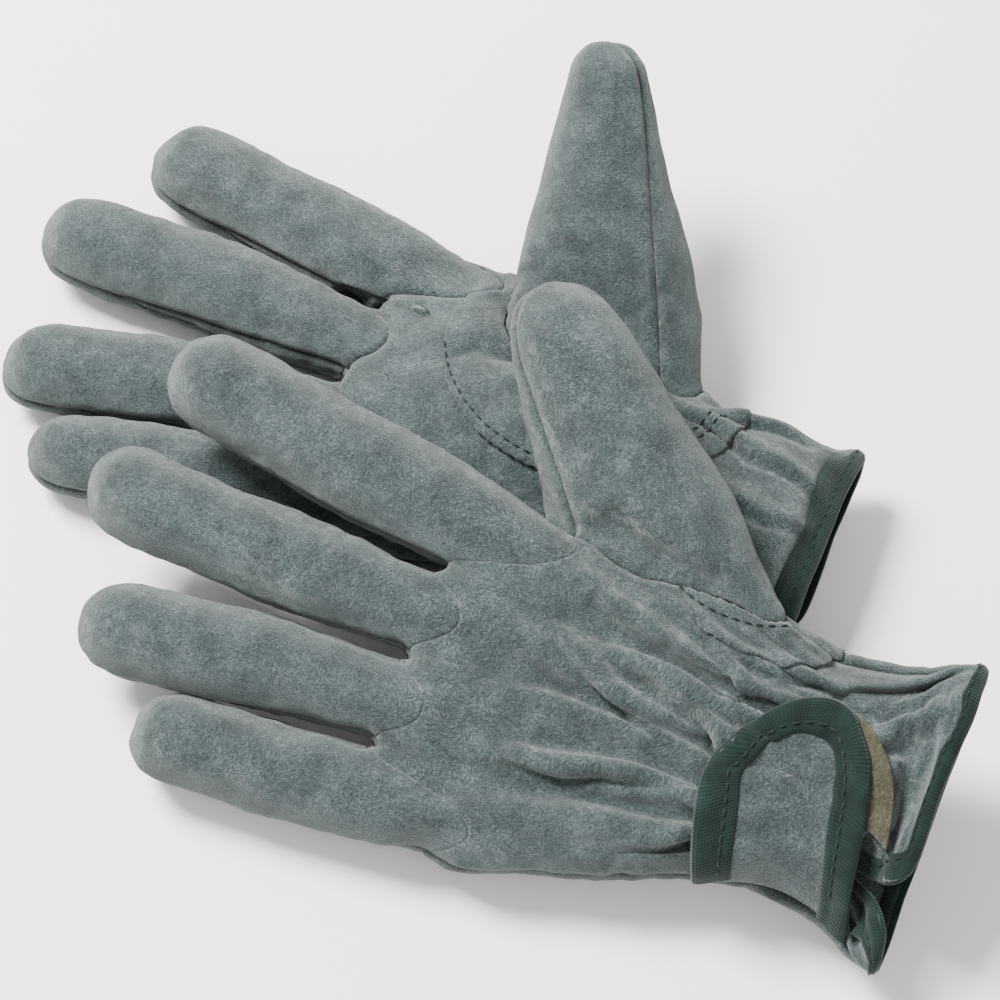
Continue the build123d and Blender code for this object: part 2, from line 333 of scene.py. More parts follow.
def remesh(piece, voxel):
    """Joins an object's overlapping hulls into one even surface."""
    modifier = piece.modifiers.new("Remesh", "REMESH")
    modifier.mode = "VOXEL"
    modifier.voxel_size = voxel
    apply_modifiers(piece)
    smooth = piece.modifiers.new("Smooth", "SMOOTH")
    smooth.iterations = SMOOTHING
    smooth.factor = 0.5
    apply_modifiers(piece)


def add_weights(piece, name, weights):
    """A vertex group with the given weights, leaving out the empty ones."""
    group = piece.vertex_groups.new(name=name)
    for index in np.flatnonzero(weights > 0.05):
        group.add([int(index)], float(weights[index]), "REPLACE")


def puff(glove, piece):
    """Blows the skin up a little and draws it together along the elastic; returns how far points move."""
    start = vertex_array(piece.data)
    set_vertices(piece.data, start * CLOTH_SCALE)
    over = np.clip((start[:, 2] - glove.cuff_z + 2) / 4, 0, 1)
    add_weights(piece, "gather", np.exp(-((start[:, 0] - GATHER_X) / 5) ** 2) * over)
    add_weights(piece, "pin", (start[:, 0] > glove.cuff_x - 2).astype(float))
    cloth = piece.modifiers.new("Cloth", "CLOTH")
    settings = cloth.settings
    settings.quality = 4
    settings.mass = 0.3
    settings.tension_stiffness = settings.compression_stiffness = 15
    settings.shear_stiffness = 5
    settings.bending_stiffness = 1.5
    settings.tension_damping = settings.compression_damping = settings.shear_damping = 5
    settings.bending_damping = 0.5
    settings.air_damping = 2
    settings.use_pressure = True
    settings.uniform_pressure_force = PUFF_PRESSURE
    settings.effector_weights.gravity = 0
    settings.vertex_group_shrink = "gather"
    settings.shrink_min = 0
    settings.shrink_max = GATHER_SHRINK
    settings.vertex_group_mass = "pin"
    settings.pin_stiffness = 1
    cloth.collision_settings.use_collision = False
    cloth.point_cache.frame_start = 1
    cloth.point_cache.frame_end = PUFF_FRAMES
    for number in range(1, PUFF_FRAMES + 1):
        bpy.context.scene.frame_set(number)
    apply_modifiers(piece)
    bpy.context.scene.frame_set(0)
    move = vertex_array(piece.data) / CLOTH_SCALE - start
    length = np.linalg.norm(move, axis=1, keepdims=True)
    move = move * (PUFF_LIMIT * np.tanh(length / PUFF_LIMIT) / np.maximum(length, 1e-6))
    set_vertices(piece.data, start)
    return move


class Skin:
    """A glove's skin: places at rest (even) and in shape (puffed), faces, and fields per point."""

    def __init__(self, glove, rest, shape, quads):
        self.glove = glove
        self.rest = rest
        self.shape = shape
        self.quads = quads
        self.near = {}  # distance from each point at rest to each CAD panel
        self.names = []  # panels, in the order of their labels
        self.labels = None  # each face's panel
        self.seam = None  # each point's distance from the nearest seam
        self.tree = None

    def edges(self):
        """Unique edges, and each quad's four edges as indices into them."""
        loops = np.stack([self.quads, np.roll(self.quads, -1, axis=1)], axis=-1)
        pairs = np.sort(loops.reshape(-1, 2), axis=1)
        edges, inverse = np.unique(pairs, axis=0, return_inverse=True)
        return edges, inverse.reshape(-1, 4)

    def subdivided(self):
        """The same skin with every quad split in four."""
        edges, of_quad = self.edges()

        def split(values):
            return np.concatenate([values, values[edges].mean(axis=1), values[self.quads].mean(axis=1)])

        corners = self.quads
        mids = of_quad + len(self.rest)
        centres = np.arange(len(corners)) + len(self.rest) + len(edges)
        parts = []
        for corner in range(4):
            before = mids[:, corner - 1]
            parts.append(np.stack([corners[:, corner], mids[:, corner], centres, before], axis=1))
        fine = Skin(self.glove, split(self.rest), split(self.shape), np.concatenate(parts))
        fine.near = {name: split(values) for name, values in self.near.items()}
        return fine


def neighbour_mean(points, edges):
    """The mean of each point's neighbours along the edges, in every column, and how many it has."""
    size, columns = points.shape
    count = np.bincount(edges.ravel(), minlength=size)
    total = np.stack([
        np.bincount(edges[:, 0], points[edges[:, 1], column], size)
        + np.bincount(edges[:, 1], points[edges[:, 0], column], size)
        for column in range(columns)], axis=1)
    return total / np.maximum(count, 1)[:, None], count


def relaxed(points, edges, times, share=0.5):
    """Points drawn towards their neighbours along the edges, so a stepped surface or line runs smooth."""
    for _ in range(times):
        mean, count = neighbour_mean(points, edges)
        moved = count > 1
        points = points.copy()
        points[moved] += share * (mean[moved] - points[moved])
    return points


def point_normals(points, quads):
    """Outward normals at the points."""
    corner = points[quads]
    face = np.cross(corner[:, 2] - corner[:, 0], corner[:, 3] - corner[:, 1])
    normals = np.stack([
        sum(np.bincount(quads[:, side], face[:, axis], len(points)) for side in range(4))
        for axis in range(3)], axis=1)
    return unit(normals)


def panel_names():
    """Every leather panel that the skin is cut into."""
    names = ["hand_back", "palm"] + list(CROTCHES)
    for digit in DIGITS:
        names += [f"{digit}_back", f"{digit}_front"]
        if digit != "thumb":
            names.append(f"{digit}_gussets")
    return names


def measure_panels(skin):
    """Stores each point's distance to every CAD panel; far panels count as very far."""
    for name in panel_names():
        tree = skin.glove.node_tree(name)
        corners = skin.glove.node_points(name)
        low, high = corners.min(axis=0) - PANEL_REACH, corners.max(axis=0) + PANEL_REACH
        inside = ((skin.rest > low) & (skin.rest < high)).all(axis=1)
        distance = np.full(len(skin.rest), PANEL_FAR)
        for index in np.flatnonzero(inside):
            distance[index] = tree.find_nearest(Vector(skin.rest[index]))[3]
        skin.near[name] = distance


def leather_group(name):
    """Panels that are one piece of leather share a group, so that no seam is drawn between them."""
    if name == "hand_back" or (name.endswith("_back") and name != "thumb_back"):
        return "back"
    if name.endswith("crotch") or name.endswith("gussets"):
        return "side"
    return name


def lay_out_panels(skin):
    """Gives each face its panel and each point its distance from the nearest seam."""
    names = list(skin.near)
    facing = np.abs(point_normals(skin.shape, skin.quads)[:, 2])
    for name in CROTCHES:
        skin.near[name] = skin.near[name] + CROTCH_SETBACK * smoothstep(facing, 0.4, 0.8)
    near = np.stack([skin.near[name] for name in names], axis=1)
    table = relaxed(near, skin.edges()[0], PANEL_BLUR).T
    skin.labels = np.argmin(table[:, skin.quads].mean(axis=2), axis=0)
    groups = sorted({leather_group(name) for name in names})
    rows = np.stack([
        np.min([row for row, name in zip(table, names) if leather_group(name) == group], axis=0)
        for group in groups])
    ranked = np.sort(rows, axis=0)
    skin.seam = np.sqrt(np.maximum(ranked[1] ** 2 - ranked[0] ** 2, 0))
    skin.names = names


def slit_place(glove, points):
    """Distance along the slit from its inner end, and distance from its middle line."""
    inner = np.array((SLIT_INNER[0], SLIT_INNER[1] + slit_move(glove)))
    mouth = np.array((SLIT_MOUTH[0], SLIT_MOUTH[1] + slit_move(glove)))
    along = unit(mouth - inner)
    offset = points[:, :2] - inner
    return offset @ along, offset @ np.array((-along[1], along[0]))


def slit_move(glove):
    """How far the right glove's slit and strap lie towards its little finger, as its wrist leans."""
    return -7.0 if glove.mirrored else 0.0


def inside_depth(glove, points):
    """How far a point at rest is inside the finished leather: negative past the cuff and in the slit."""
    from_cuff = glove.cuff_x - 0.4 - points[:, 0]
    along, across = slit_place(glove, points)
    half = SLIT_HALF + SLIT_FLARE * np.clip(along / 65, 0, 1) ** 2
    from_slit = np.abs(across) - half
    from_slit = np.where(along < 0, np.hypot(along, across) - half, from_slit)
    from_slit = np.where(points[:, 2] > glove.cuff_z, from_slit, 50.0)
    round_in = CORNER - np.hypot(np.maximum(CORNER - from_cuff, 0), np.maximum(CORNER - from_slit, 0))
    plain = np.minimum(from_cuff, from_slit)
    return np.where((from_cuff < CORNER) & (from_slit < CORNER), round_in, plain)


def open_skin(skin):
    """Takes away the faces past the cuff and in the slit."""
    depth = inside_depth(skin.glove, skin.rest)
    keep = depth[skin.quads].mean(axis=1) > 0
    skin.quads = skin.quads[keep]
    skin.labels = skin.labels[keep]


def border_edges(skin):
    """Edges on the open border, and edges between two panels."""
    edges, of_quad = skin.edges()
    count = np.bincount(of_quad.ravel(), minlength=len(edges))
    flat = of_quad.ravel()
    owner = np.repeat(np.arange(len(skin.quads)), 4)
    label = skin.labels[owner]
    lowest = np.full(len(edges), 999)
    highest = np.full(len(edges), -1)
    np.minimum.at(lowest, flat, label)
    np.maximum.at(highest, flat, label)
    return edges[count == 1], edges[(count == 2) & (lowest != highest)]


def even_out_borders(skin):
    """Turns the stepped edges of the panels and of the openings into smooth lines."""
    open_edges, seam_edges = border_edges(skin)
    lines = np.vstack([open_edges, seam_edges])
    skin.shape = relaxed(skin.shape, lines, 8)
    skin.rest = relaxed(skin.rest, lines, 8)


def fold_lift(rest, side, height, width, path):
    """Lift of one deep fold: a ridge on the left of its line and a sharp crease on the right."""
    path = np.array(path, dtype=float)
    steps = np.diff(path, axis=0)
    lengths = np.linalg.norm(steps, axis=1)
    before = np.concatenate([[0], np.cumsum(lengths)])
    nearest = np.full(len(rest), 99.0)
    signed = np.full(len(rest), 99.0)
    share = np.zeros(len(rest))
    for start, step, length, passed in zip(path, steps, lengths, before):
        offset = rest[:, :2] - start
        along = np.clip(offset @ step / length ** 2, 0, 1)
        apart = offset - along[:, None] * step
        distance = np.linalg.norm(apart, axis=1)
        turn = np.sign(step[0] * offset[:, 1] - step[1] * offset[:, 0])
        closer = distance < nearest
        nearest = np.where(closer, distance, nearest)
        signed = np.where(closer, distance * turn, signed)
        share = np.where(closer, (passed + along * length) / before[-1], share)
    fade = np.sin(pi * np.clip(share, 0.02, 0.98)) ** 0.7 * smoothstep(rest[:, 2] * side, 0, 4)
    ridge = np.exp(-((signed - width * 0.7) / width) ** 2)
    crease = np.exp(-((signed + 0.9) / 1.5) ** 2)
    return height * fade * (0.75 * ridge - 0.75 * crease)


def surface_detail(skin):
    """Presses the seams in and gives the leather its dents and small folds."""
    normals = point_normals(skin.shape, skin.quads)
    rest = skin.rest
    uneven = noise_at(rest, 4.5, 3)
    groove = np.exp(-(skin.seam / SEAM_WIDTH) ** 2)
    ridge = np.exp(-((skin.seam - 3.0) / 1.5) ** 2)
    lift = SEAM_RIDGE * ridge * (1 + 0.8 * uneven) - SEAM_DEPTH * groove
    lift += 1.0 * noise_at(rest, 24, 1) + 0.45 * noise_at(rest, 9, 2)
    bent = rest + 2.2 * np.stack([noise_at(rest, 14, 4), noise_at(rest, 14, 6), 0 * lift], axis=1)
    for fold in FOLDS[skin.glove.side]:
        lift += fold_lift(bent, *fold)
    skin.shape = skin.shape + normals * lift[:, None]


def calmed_crotches(skin, edges):
    """The skin with its lumps between the fingers' roots smoothed away."""
    close = np.min([skin.near[name] for name in CROTCHES], axis=0)
    share = 1 - smoothstep(close, 3, 8)
    return skin.shape + share[:, None] * (relaxed(skin.shape, edges, CROTCH_CALM) - skin.shape)


def make_skin(glove):
    """The finished skin of one glove."""
    piece = envelope(glove)
    remesh(piece, VOXEL)
    rest = vertex_array(piece.data)
    flat = np.empty(len(piece.data.loops), dtype=np.int32)
    piece.data.loops.foreach_get("vertex_index", flat)
    quads = flat.reshape(-1, 4)
    move = puff(glove, piece)
    bpy.data.objects.remove(piece)
    calm = smoothstep(glove.cuff_x - rest[:, 0], 0, 16)
    facing = rest[:, 2] * (1 if glove.side == "left" else -1)
    under = UNDER_LIMIT + (1 - UNDER_LIMIT) * smoothstep(facing, -6, 4)
    digits = DIGIT_SHARE + (1 - DIGIT_SHARE) * smoothstep(rest[:, 0], -20, 5)
    rest = widened(glove, rest)
    skin = Skin(glove, rest, rest, quads)
    broad = relaxed(move, skin.edges()[0], 25)
    backward = smoothstep(rest[:, 0], 4, 26) * smoothstep(rest[:, 2], -8, 2)
    gain = 0.6 + (WRINKLE_GAIN - 0.6) * backward
    move = broad + gain[:, None] * (move - broad)
    skin.shape = rest + move * (calm * under * digits)[:, None]
    measure_panels(skin)
    skin = skin.subdivided()
    edges = skin.edges()[0]
    skin.shape = relaxed(skin.shape, edges, 2)
    skin.shape = calmed_crotches(skin, edges)
    lay_out_panels(skin)
    surface_detail(skin)
    skin.tree = BVHTree.FromPolygons([Vector(p) for p in skin.shape], skin.quads.tolist())
    open_skin(skin)
    even_out_borders(skin)
    return skin


# --------------------------------------------------------------------------------------- mesh making


def build_mesh(glove, name, points, faces):
    """A world-space object from points in a glove's axes."""
    faces = np.asarray(faces)
    if glove.mirrored:
        faces = faces[:, ::-1]
    mesh = bpy.data.meshes.new(name)
    mesh.from_pydata(glove.world(points).tolist(), [], faces.tolist())
    mesh.polygons.foreach_set("use_smooth", [True] * len(mesh.polygons))
    mesh.update()
    return new_object(name, mesh)


def compact(points, faces, *fields):
    """Only the points that the faces use, renumbered, with their fields."""
    used = np.unique(faces)
    renumber = np.full(len(points), -1)
    renumber[used] = np.arange(len(used))
    return points[used], renumber[faces], [field[used] for field in fields]


def shell(points, normals, faces, outer, inner):
    """Closed sheet between two heights over a surface."""
    size = len(points)
    loops = np.stack([faces, np.roll(faces, -1, axis=1)], axis=-1).reshape(-1, 2)
    key = loops[:, 0].astype(np.int64) * size + loops[:, 1]
    back = loops[:, 1].astype(np.int64) * size + loops[:, 0]
    rim = loops[~np.isin(key, back)]
    walls = np.stack([rim[:, 1], rim[:, 0], rim[:, 0] + size, rim[:, 1] + size], axis=1)
    places = np.concatenate([points + normals * outer, points + normals * inner])
    return places, np.concatenate([faces, faces[:, ::-1] + size, walls])


def add_field(piece, name, values):
    """A float attribute on a piece's points."""
    attribute = piece.data.attributes.new(name, "FLOAT", "POINT")
    attribute.data.foreach_set("value", np.asarray(values, dtype=np.float32))


def add_places(piece, points):
    """The points' places at rest, in millimetres, for textures that keep still when the leather bends."""
    attribute = piece.data.attributes.new("grain", "FLOAT_VECTOR", "POINT")
    attribute.data.foreach_set("vector", np.asarray(points, dtype=np.float32).ravel())


def part(glove, name, points, faces, material, rest=None, **fields):
    """A named piece of a glove, with its places at rest and its other fields."""
    piece = build_mesh(glove, f"{glove.side}_{name}_skin", points, faces)
    add_places(piece, points if rest is None else rest)
    for field, values in fields.items():
        add_field(piece, field, values)
    piece.data.materials.append(material)
    return piece


def skin_panels(skin, material):
    """Cuts the skin into its leather panels, each with its own thickness, and hangs those that are not on a
    moving digit on the glove's body.
    """
    normals = point_normals(skin.shape, skin.quads)
    for number, name in enumerate(skin.names):
        faces = skin.quads[skin.labels == number]
        points, faces, fields = compact(skin.shape, faces, normals, skin.rest, skin.seam)
        normal, rest, seam = fields
        points, faces = shell(points, normal, faces, 0.0, -LEATHER)
        # The seam field also gives the suede its painted shade in the seam grooves and painted highlight
        # with wear on the ridges beside them.
        piece = part(skin.glove, name, points, faces, material, rest=np.tile(rest, (2, 1)),
                     seam=np.tile(seam, 2))
        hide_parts(f"{skin.glove.side}_{name}")
        attach(skin.glove, piece, name.split("_")[0])


def attach(glove, piece, digit):
    """Hangs a panel on the glove; a panel on a digit that moves is only baked into world space, with no
    body and no bend.
    """
    if digit not in glove.bending:
        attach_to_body(piece, glove.body)
        return
    span = THUMB_BEND if digit == "thumb" else FINGER_BEND
    start, end = (Vector(place) for place in glove.world(span))
    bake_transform(piece)


# ---------------------------------------------------------------------------------------------- trim


class Cover:
    """Smooth surface round the wrist, just over its wrinkles, on which the strap and its pads lie."""

    def __init__(self, skin):
        self.glove = skin.glove
        self.rows = np.arange(56.0, self.glove.cuff_x - 0.5, COVER_STEP)
        self.angles = np.radians(np.arange(0, 360, COVER_TURN))
        rest = skin.rest
        self.middle = np.array([self.middle_of(rest, x) for x in self.rows])
        radii = np.array([[self.cast(skin.tree, x, y, angle) for angle in self.angles]
                          for x, y in zip(self.rows, self.middle)])
        self.radii = self.blurred(self.widest(radii))
        self.reach = np.arange(-COVER_BEFORE, 110.0, 1.0)
        self.turns = np.array([self.girth_row(row) for row in range(len(self.rows))])

    def middle_of(self, rest, x):
        """Middle of the hand's width at a place along the wrist."""
        band = rest[np.abs(rest[:, 0] - x) < 2]
        return (band[:, 1].min() + band[:, 1].max()) / 2

    def cast(self, tree, x, y, angle):
        """Distance from the wrist's middle to the skin in one direction."""
        out = Vector((0, cos(angle), sin(angle)))
        centre = Vector((x, y, self.glove.cuff_z))
        hit = tree.ray_cast(centre + out * RAY_START, -out)
        return (hit[0] - centre).length

    def widest(self, radii):
        """Each radius raised to the highest beside it."""
        best = radii
        for row in (-1, 0, 1):
            for turn in (-1, 0, 1):
                best = np.maximum(best, np.roll(np.roll(radii, row, 0), turn, 1))
        best[0], best[-1] = radii[0], radii[-1]
        return best

    def blurred(self, radii):
        """The radii with their small waves evened out."""
        for _ in range(9):
            radii = (np.roll(radii, 1, 1) + 2 * radii + np.roll(radii, -1, 1)) / 4
            inner = (radii[:-2] + 2 * radii[1:-1] + radii[2:]) / 4
            radii = np.concatenate([radii[:1], inner, radii[-1:]])
        return radii

    def sample(self, x, angle):
        """Radius and middle at any place, by interpolation."""
        row = np.clip((x - self.rows[0]) / COVER_STEP, 0, len(self.rows) - 1.001)
        turn = (np.degrees(angle) % 360) / COVER_TURN
        low, left = row.astype(int), turn.astype(int)
        up, over = row - low, turn - left
        right = (left + 1) % len(self.angles)
        left = left % len(self.angles)
        radius = ((1 - up) * ((1 - over) * self.radii[low, left] + over * self.radii[low, right])
                  + up * ((1 - over) * self.radii[low + 1, left] + over * self.radii[low + 1, right]))
        middle = (1 - up) * self.middle[low] + up * self.middle[low + 1]
        return radius, middle

    def bare(self, x, angle):
        """Points on the cover."""
        radius, middle = self.sample(x, angle)
        return np.stack([x, middle + radius * np.cos(angle),
                         self.glove.cuff_z + radius * np.sin(angle)], axis=-1)

    def girth_row(self, row):
        """Angles reached after going round from the side hem by each length in self.reach."""
        radius = self.radii[row, 180 // COVER_TURN]
        start = pi - np.arcsin(STRAP_HEM / radius) + COVER_BEFORE / radius
        angle = np.linspace(start, start - pi * 1.1, 200)
        points = self.bare(np.full(200, self.rows[row]), angle)
        steps = np.linalg.norm(np.diff(points, axis=0), axis=1)
        length = np.concatenate([[0], np.cumsum(steps)]) - COVER_BEFORE
        return np.interp(self.reach, length, angle)

    def reach_of(self, x, y):
        """Length round from the side hem to a place on the back."""
        tries = np.arange(5.0, 90.0, 0.5)
        points, _ = self.place(np.full(len(tries), x), tries)
        return np.interp(y + slit_move(self.glove), points[:, 1], tries)

    def place(self, x, reach):
        """Points and outward normals at x and a length round from the side hem."""
        x = np.asarray(x, dtype=float)
        row = np.clip((x - self.rows[0]) / COVER_STEP, 0, len(self.rows) - 1.001)
        column = np.clip(np.asarray(reach) - self.reach[0], 0, len(self.reach) - 1.001)
        low, left = row.astype(int), column.astype(int)
        up, over = row - low, column - left
        angle = ((1 - up) * ((1 - over) * self.turns[low, left] + over * self.turns[low, left + 1])
                 + up * ((1 - over) * self.turns[low + 1, left] + over * self.turns[low + 1, left + 1]))
        points = self.bare(x, angle)
        along = self.bare(x + 1.0, angle) - self.bare(x - 1.0, angle)
        round_ = self.bare(x, angle + 0.05) - self.bare(x, angle - 0.05)
        return points, unit(np.cross(round_, along))


class Tab:
    """The strap's outline, drawn on the cover: u runs from its root to its tip and v across it."""

    def __init__(self, cover, inset=0.0, shift=0.0, start=None):
        self.cover = cover
        self.shift = shift
        self.half = STRAP_WIDTH / 2 - inset
        run = np.array((STRAP_TIP[0] - STRAP_ROOT_X, cover.reach_of(*STRAP_TIP)))
        self.length = np.linalg.norm(run)
        self.along = run / self.length
        self.across = np.array((self.along[1], -self.along[0]))
        self.turn = self.length - STRAP_WIDTH / 2
        self.start = start

    def spot(self, u, v):
        """Surface points and normals under plan places."""
        x = STRAP_ROOT_X + self.shift + u * self.along[0] + v * self.across[0]
        reach = u * self.along[1] + v * self.across[1]
        return self.cover.place(x, reach)

    def root(self, v):
        """u of the sewn edge."""
        if self.start is not None:
            return np.full_like(v, self.start)
        return (-1.0 - v * self.across[1]) / self.along[1]

    def grid(self, columns, rows):
        """Plan places that fill the tab, and the quads between them."""
        v = self.half * np.sin(np.linspace(-pi / 2, pi / 2, rows))
        tip = self.turn + np.sqrt(np.maximum(self.half ** 2 - v ** 2, 0))
        root = self.root(v)
        share = np.linspace(0, 1, columns)[:, None]
        u = root + share * (tip - root)
        number = np.arange(columns * rows).reshape(columns, rows)
        quads = np.stack([number[:-1, :-1], number[:-1, 1:], number[1:, 1:], number[1:, :-1]],
                         axis=-1)
        return u.ravel(), np.tile(v, columns), quads.reshape(-1, 4)

    def outline(self):
        """Plan places along the free edge, with the direction out of the tab."""
        side = np.array((-self.half, self.half))
        root = self.root(side)
        first = np.arange(root[0], self.turn, STRAP_STEP)
        last = np.arange(self.turn, root[1], -STRAP_STEP)
        turn = np.linspace(-pi / 2, pi / 2, int(pi * self.half / STRAP_STEP))[1:-1]
        u = np.concatenate([first, self.turn + self.half * np.cos(turn), last])
        v = np.concatenate([np.full(len(first), -self.half), self.half * np.sin(turn),
                            np.full(len(last), self.half)])
        out_u = np.concatenate([np.zeros(len(first)), np.cos(turn), np.zeros(len(last))])
        out_v = np.concatenate([-np.ones(len(first)), np.sin(turn), np.ones(len(last))])
        return u, v, out_u, out_v


def strap_lift(u, v):
    """Height of the strap's underside over the cover: low at its root, a little wavy at its edge."""
    spots = np.stack([u, v, 0 * u], axis=-1).reshape(-1, 3)
    rough = 0.35 * noise_at(spots, 9, 7).reshape(u.shape)
    edge = smoothstep(np.abs(v), 8, 20)
    wave = 0.5 * np.sin(u / 9.0 + v / 13.0) + 0.4 * np.sin(u / 5.2 - v / 7.0)
    return STRAP_RISE * smoothstep(u, -2, 12) + wave * edge * smoothstep(u, 5, 25) + rough


def strap_leather(tab):
    """The strap's leather: points and faces."""
    u, v, quads = tab.grid(52, 30)
    points, normals = tab.spot(u, v)
    return shell(points + normals * strap_lift(u, v)[:, None], normals, quads, LEATHER, 0.0)


def fold_profile(width):
    """Cross-section of tape folded over an edge of leather: how far in, and the height, all round."""
    top, low = LEATHER + TAPE, -TAPE
    stitch = width * STITCH_LINE
    outer = [(width, LEATHER + 0.1), (width - 0.4, top - 0.15), (stitch + 1.2, top), (stitch, top - 0.3),
             (stitch - 1.2, top), (2.0, top + 0.05), (0.6, top - 0.1), (-0.6, LEATHER + 0.1)]
    under = [(-1.0, LEATHER / 2), (-0.6, 0.0), (0.6, low + 0.15), (2.0, low), (stitch, low),
             (width - 0.4, low + 0.15), (width, 0.0)]
    return np.array(outer + under)


def swept_faces(stations, sides, closed):
    """Quads of a profile swept along a path, and whether the path comes back to its start."""
    number = np.arange(stations * sides).reshape(stations, sides)
    onward = np.roll(number, -1, axis=0)
    beside = np.roll(number, -1, axis=1)
    both = np.roll(onward, -1, axis=1)
    quads = np.stack([number, onward, both, beside], axis=-1)
    return (quads if closed else quads[:-1]).reshape(-1, 4)


def strap_tape(tab):
    """Tape over the strap's free edge: a grid of points, faces, and places along and across it."""
    u, v, out_u, out_v = tab.outline()
    profile = fold_profile(STRAP_BAND)
    inward = profile[:, 0]
    grid_u = u[:, None] - out_u[:, None] * inward
    grid_v = v[:, None] - out_v[:, None] * inward
    points, normals = tab.spot(grid_u.ravel(), grid_v.ravel())
    rise = strap_lift(grid_u, grid_v) + profile[:, 1]
    along = np.repeat(np.arange(len(u)) * STRAP_STEP, len(inward))
    rise = rise.ravel() + 0.12 * np.sin(along / 1.9) * (np.tile(inward, len(u)) > 4)
    grid = (points + normals * rise[:, None]).reshape(len(u), len(inward), 3)
    for _ in range(3):
        grid[1:-1] = (grid[:-2] + 2 * grid[1:-1] + grid[2:]) / 4
    return grid, swept_faces(len(u), len(inward), False), along, np.tile(inward, len(u))


def stitches(points, normals):
    """A row of short threads along a path, each dipping into the surface at its ends."""
    steps = np.linalg.norm(np.diff(points, axis=0), axis=1)
    length = np.concatenate([[0], np.cumsum(steps)])
    verts, faces = [], []
    ring = np.linspace(0, 2 * pi, 7)[:-1]
    share = np.linspace(0, 1, 5)
    breaks = length[:-1][steps > 2]
    for number in range(int((length[-1] - STITCH_LENGTH) / STITCH_PITCH)):
        at = number * STITCH_PITCH + share * STITCH_LENGTH
        if ((breaks > at[0] - 4) & (breaks < at[-1])).any():
            continue
        middle = np.stack([np.interp(at, length, points[:, axis]) for axis in range(3)], axis=1)
        up = unit(np.stack([np.interp(at, length, normals[:, axis]) for axis in range(3)], axis=1))
        middle = middle + up * (0.35 * np.sin(pi * share) - 0.1)[:, None]
        ahead = unit(np.gradient(middle, axis=0))
        side = unit(np.cross(ahead, up))
        thick = STITCH_RADIUS * (0.45 + 0.55 * np.sin(pi * share))[:, None, None]
        rings = middle[:, None] + thick * (side[:, None] * np.cos(ring)[None, :, None]
                                           + up[:, None] * np.sin(ring)[None, :, None])
        faces.append(swept_faces(5, 6, False) + len(verts) * 30)
        verts.append(rings.reshape(-1, 3))
    return np.concatenate(verts), np.concatenate(faces)


def rim_path(skin):
    """The skin's open border as one even loop: points, normals, places at rest and directions inward."""
    edges = border_edges(skin)[0]
    beside = {}
    for first, second in edges.tolist():
        beside.setdefault(first, []).append(second)
        beside.setdefault(second, []).append(first)
    loops = []
    while beside:
        loop = [next(iter(beside))]
        while loop[-1] in beside:
            onward = [other for other in beside.pop(loop[-1]) if other in beside]
            if onward:
                loop.append(onward[0])
        loops.append(loop)
    loop = np.array(max(loops, key=len))
    normals = point_normals(skin.shape, skin.quads)
    mean = neighbour_mean(skin.shape, skin.edges()[0])[0]
    values = np.concatenate([skin.shape, normals, skin.rest, mean - skin.shape], axis=1)[loop]
    steps = np.linalg.norm(np.diff(np.vstack([values, values[:1]])[:, :3], axis=0), axis=1)
    length = np.concatenate([[0], np.cumsum(steps)])
    count = int(length[-1] / RIM_STEP)
    at = np.linspace(0, length[-1], count, endpoint=False)
    closed = np.vstack([values, values[:1]])
    even = np.stack([np.interp(at, length, closed[:, column]) for column in range(12)], axis=1)
    for _ in range(4):
        even = (np.roll(even, 1, axis=0) + 2 * even + np.roll(even, -1, axis=0)) / 4
    return even[:, :3], unit(even[:, 3:6]), even[:, 6:9], even[:, 9:12]


def rim_tape(skin):
    """Tape folded over the cuff's edge and both edges of the slit, as a grid of points round the rim."""
    points, normals, rest, hint = rim_path(skin)
    ahead = unit(np.roll(points, -1, axis=0) - np.roll(points, 1, axis=0))
    inward = unit(np.cross(normals, ahead))
    if (inward * hint).sum() < 0:
        inward = -inward
    glove = skin.glove
    cuff = smoothstep(rest[:, 0], glove.cuff_x - 16, glove.cuff_x - 6)
    width = SLIT_BAND + (CUFF_BAND - SLIT_BAND) * cuff
    stations = []
    for index in range(len(points)):
        profile = fold_profile(width[index])
        row = []
        for reach, height in profile:
            place, normal = Vector(points[index] + inward[index] * reach), Vector(normals[index])
            if reach > 1.0:
                place, normal = skin.tree.find_nearest(place)[:2]
            row.append(np.array(place) + np.array(normal) * (height - LEATHER))
        stations.append(row)
    grid = np.array(stations)
    for _ in range(2):
        grid = (np.roll(grid, 1, axis=0) + 2 * grid + np.roll(grid, -1, axis=0)) / 4
    return grid, cuff > 0.5, width


def tape_stitch_path(grid):
    """The line on a tape's grid where its stitches lie: points and normals."""
    path = grid[:, 3]
    ahead = np.roll(path, -1, axis=0) - np.roll(path, 1, axis=0)
    across = grid[:, 2] - grid[:, 4]
    normals = unit(np.cross(ahead, across))
    outward = path - grid[:, 12]
    normals = normals * np.sign((normals * outward).sum(axis=1, keepdims=True))
    return path + normals * 0.1, normals


def patch_depth(rest, on_back):
    """How far inside the edge of the thumb reinforcement a place is, on the palm or on the back."""
    if on_back:
        wide = (rest[:, 0] - WRAP_CENTRE[0]) / WRAP_HALF[0]
        tall = (rest[:, 1] - WRAP_CENTRE[1]) / WRAP_HALF[1]
        return WRAP_HALF[1] * (1 - np.hypot(wide, tall))
    return PATCH_RADIUS - np.hypot(rest[:, 0] - PATCH_CENTRE[0], rest[:, 1] - PATCH_CENTRE[1])


def patch_faces(skin):
    """The faces under the thumb reinforcement, on the palm and on the back."""
    middle = skin.rest[skin.quads].mean(axis=1)
    palm = (skin.labels == skin.names.index("palm")) & (patch_depth(middle, False) > 0)
    back = (skin.labels == skin.names.index("hand_back")) & (patch_depth(middle, True) > 0)
    return skin.quads[palm | back]


